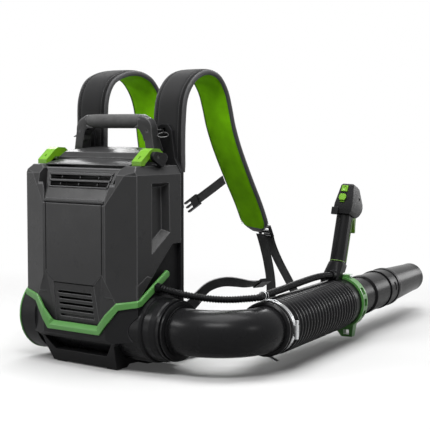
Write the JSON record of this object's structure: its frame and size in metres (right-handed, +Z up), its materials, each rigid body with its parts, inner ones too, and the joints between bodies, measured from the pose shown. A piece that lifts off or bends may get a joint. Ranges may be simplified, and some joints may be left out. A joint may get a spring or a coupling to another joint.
{
  "type": "backpack leaf blower",
  "caption": "Battery backpack leaf blower: faceted housing on a skid base, side fan duct, elbow, ribbed hose, wand with a control handle, padded shoulder harness.",
  "frame": {"origin": "centre of the base on the floor, under the middle of the battery housing", "axes": "+X to the wearer's right, towards the elbow; +Y towards the wearer and the nozzle; +Z up"},
  "size_m": [0.569, 1.0897, 0.5807],
  "materials": {
    "shell_grey": "fine-grained moulded plastic, satin",
    "base_black": "fine-grained moulded plastic, satin",
    "hose_black": "flexible ribbed plastic, satin",
    "green_plastic": "moulded plastic, semi-gloss",
    "lime_plastic": "moulded plastic, semi-gloss",
    "battery_case": "moulded plastic, satin",
    "rubber_black": "soft rubber",
    "steel": "zinc-plated steel",
    "motor_can": "painted steel can",
    "heat_sink": "bare aluminium",
    "wire_black": "black coated wire",
    "pad_fabric": "foam under a woven cover, lime lining inside",
    "webbing_black": "woven webbing"
  },
  "bodies": {
    "housing": {"housing_shell": "shell_grey", "front_panel": "shell_grey", "louvre_panel": "shell_grey", "trim_band": "green_plastic", "base_housing": "base_black", "rubber_feet": "rubber_black", "fan_duct": "base_black", "intake_ring": "green_plastic", "intake_grille": "base_black", "shaft_bearings": "steel", "motor": "motor_can", "stator_vanes": "base_black", "controller": "heat_sink", "battery_left": "battery_case", "battery_right": "battery_case", "battery_dock": "base_black", "lid_hinge_pins": "steel", "latch_catches": "base_black", "backplate": "base_black", "carry_handle": "shell_grey", "handle_grip": "rubber_black", "frame_screws": "steel", "harness_rings": "wire_black", "back_pad": "pad_fabric", "shoulder_strap_left": "pad_fabric", "shoulder_strap_right": "pad_fabric", "ladder_locks": "base_black", "strap_webbing": "webbing_black", "sternum_strap": "webbing_black", "sternum_buckle": "base_black", "waist_belt": "webbing_black", "waist_buckle": "base_black", "cable_gland": "base_black", "conduit_lower": "hose_black"},
    "elbow": {"elbow": "base_black", "hose_clamp": "steel", "clamp_screw": "steel", "air_hose": "hose_black", "cable_ties": "base_black", "conduit_upper": "hose_black"},
    "wand": {"hose_cuff": "base_black", "swivel_ring": "green_plastic", "wand_tube": "base_black", "handle_foot": "base_black", "grip_body": "base_black", "grip_head": "base_black"},
    "nozzle": {"nozzle": "base_black"},
    "rotor": {"impeller": "base_black", "fan_shaft": "steel"},
    "lid": {"battery_lid": "shell_grey", "lid_grille": "base_black"},
    "latch_left": {"latch_left": "lime_plastic"},
    "latch_right": {"latch_right": "lime_plastic"},
    "trigger": {"trigger": "lime_plastic"},
    "power_button": {"power_button": "lime_plastic"},
    "speed_slider": {"speed_slider": "lime_plastic"},
    "cruise_lever": {"cruise_lever": "base_black"}
  },
  "joints": [
    {"name": "elbow_swivel", "type": "hinge", "parent": "housing", "child": "elbow", "pos_m": [0, -0.011, 0.082], "axis": [1, 0, 0], "range_deg": [-40, 45], "deforming": ["conduit_lower"]},
    {"name": "hose_bend", "type": "hinge", "parent": "elbow", "child": "wand", "pos_m": [0.27077, 0.27919, 0.082], "axis": [0, 0, 1], "range_deg": [-30, 5], "deforming": ["air_hose", "conduit_upper"]},
    {"name": "nozzle_twist", "type": "hinge", "parent": "wand", "child": "nozzle", "pos_m": [0.13607, 0.84024, 0.082], "axis": [0.2334, -0.9724, 0], "range_deg": [0, 20]},
    {"name": "fan_spin", "type": "hinge", "parent": "housing", "child": "rotor", "pos_m": [0, -0.011, 0.082], "axis": [1, 0, 0], "continuous": true},
    {"name": "lid_hinge", "type": "hinge", "parent": "housing", "child": "lid", "pos_m": [0, -0.086, 0.3206], "axis": [1, 0, 0], "range_deg": [0, 95]},
    {"name": "latch_left_turn", "type": "hinge", "parent": "housing", "child": "latch_left", "pos_m": [-0.125, 0.004, 0.404], "axis": [-1, 0, 0], "range_deg": [0, 45]},
    {"name": "latch_right_turn", "type": "hinge", "parent": "housing", "child": "latch_right", "pos_m": [0.125, 0.004, 0.404], "axis": [-1, 0, 0], "range_deg": [0, 45]},
    {"name": "trigger_pull", "type": "hinge", "parent": "wand", "child": "trigger", "pos_m": [0.20537, 0.55287, 0.27217], "axis": [-0.9714, -0.2332, 0.0436], "range_deg": [0, 12], "stiffness_Nm_per_rad": 0.8, "springref_deg": -5.73},
    {"name": "power_press", "type": "slide", "parent": "wand", "child": "power_button", "axis": [-0.2254, 0.8496, -0.4768], "range_m": [0, 0.002], "stiffness_N_per_m": 400, "springref_m": -0.001},
    {"name": "speed_slide", "type": "slide", "parent": "wand", "child": "speed_slider", "axis": [-0.0741, 0.473, 0.8779], "range_m": [-0.0015, 0.006]},
    {"name": "cruise_turn", "type": "hinge", "parent": "wand", "child": "cruise_lever", "pos_m": [0.2043, 0.50693, 0.2779], "axis": [0.0277, -0.294, -0.9554], "range_deg": [0, 25]}
  ]
}
